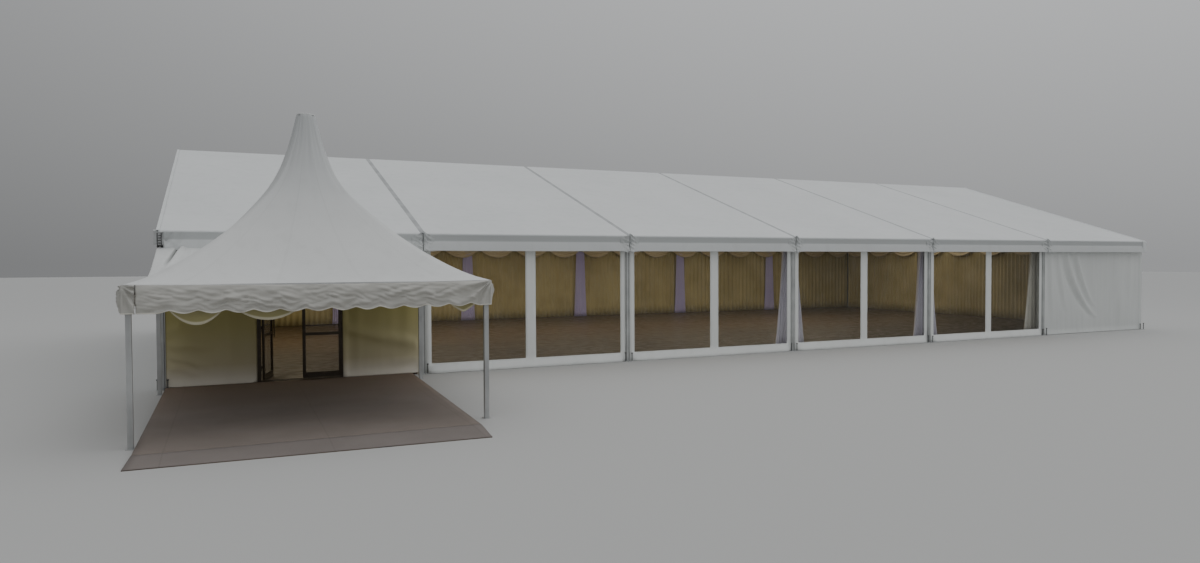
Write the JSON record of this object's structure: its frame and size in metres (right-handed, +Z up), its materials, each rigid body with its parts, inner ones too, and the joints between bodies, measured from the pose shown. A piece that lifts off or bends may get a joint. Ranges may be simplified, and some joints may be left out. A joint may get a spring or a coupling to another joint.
{
  "type": "frame marquee with pagoda porch",
  "caption": "Long clear-span frame marquee with a pitched white roof, clear window walls, a glazed double door and a square pagoda canopy over its raised porch floor.",
  "frame": {"origin": "on the ground near the middle of the whole building's box, porch and ramp included", "axes": "+X along the front from the porch end to the plain end, +Y from the front wall to the rear wall, +Z up"},
  "size_m": [30.24, 21.9683, 5.55],
  "materials": {
    "roof_cloth": "coated white cloth, satin",
    "wall_cloth": "coated off-white cloth, satin",
    "clear_sheet": "clear flexible sheet",
    "alloy": "mill finish",
    "dark_frame": "dark bronze paint, satin",
    "glass": "clear",
    "board": "dark boards, satin",
    "carpet": "needle-felt carpet",
    "ramp_carpet": "needle-felt carpet",
    "lining_cloth": "soft ivory cloth",
    "steel": "galvanised"
  },
  "bodies": {
    "hall": {"portal_frame_1": "alloy", "portal_frame_2": "alloy", "portal_frame_3": "alloy", "portal_frame_4": "alloy", "portal_frame_5": "alloy", "portal_frame_6": "alloy", "portal_frame_7": "alloy", "ridge_purlin": "alloy", "eave_rail_front": "alloy", "eave_rail_rear": "alloy", "gable_post_left_1": "alloy", "gable_post_left_2": "alloy", "gable_post_right_1": "alloy", "gable_post_right_2": "alloy", "roof_sheet_1": "roof_cloth", "roof_sheet_2": "roof_cloth", "roof_sheet_3": "roof_cloth", "roof_sheet_4": "roof_cloth", "roof_sheet_5": "roof_cloth", "roof_sheet_6": "roof_cloth", "fascia_front": "roof_cloth", "fascia_rear": "roof_cloth", "gable_wall_left": "wall_cloth", "gable_wall_right": "wall_cloth", "front_wall_left_of_door": "wall_cloth", "front_wall_right_of_door": "wall_cloth", "front_wall_over_door": "wall_cloth", "front_wall_last_bay": "wall_cloth", "window_wall_2": "wall_cloth", "window_wall_3": "wall_cloth", "window_wall_4": "wall_cloth", "window_wall_5": "wall_cloth", "clear_sheet_2": "clear_sheet", "clear_sheet_3": "clear_sheet", "clear_sheet_4": "clear_sheet", "clear_sheet_5": "clear_sheet", "rear_wall": "wall_cloth", "door_frame": "dark_frame", "hall_floor": "board", "rear_lining": "lining_cloth", "drape_3": "lining_cloth", "drape_4": "lining_cloth", "porch_canopy": "roof_cloth", "porch_eave_ring": "alloy", "porch_valance": "roof_cloth", "porch_post_front_left": "alloy", "porch_post_front_right": "alloy", "porch_post_rear_left": "alloy", "porch_post_rear_right": "alloy", "porch_mast": "steel", "porch_cap": "roof_cloth", "porch_floor": "carpet", "porch_ramp": "ramp_carpet", "weather_flap": "roof_cloth"},
    "left_door": {"door_leaf_left": "dark_frame", "door_glass_left": "glass"},
    "right_door": {"door_leaf_right": "dark_frame", "door_glass_right": "glass"}
  },
  "joints": [
    {"name": "left_door_hinge", "type": "hinge", "parent": "hall", "child": "left_door", "pos_m": [-13.244, -4.18215, 0], "axis": [0, 0, 1], "range_deg": [-75, 15]},
    {"name": "right_door_hinge", "type": "hinge", "parent": "hall", "child": "right_door", "pos_m": [-11.696, -4.18215, 0], "axis": [0, 0, -1], "range_deg": [0, 90]}
  ]
}
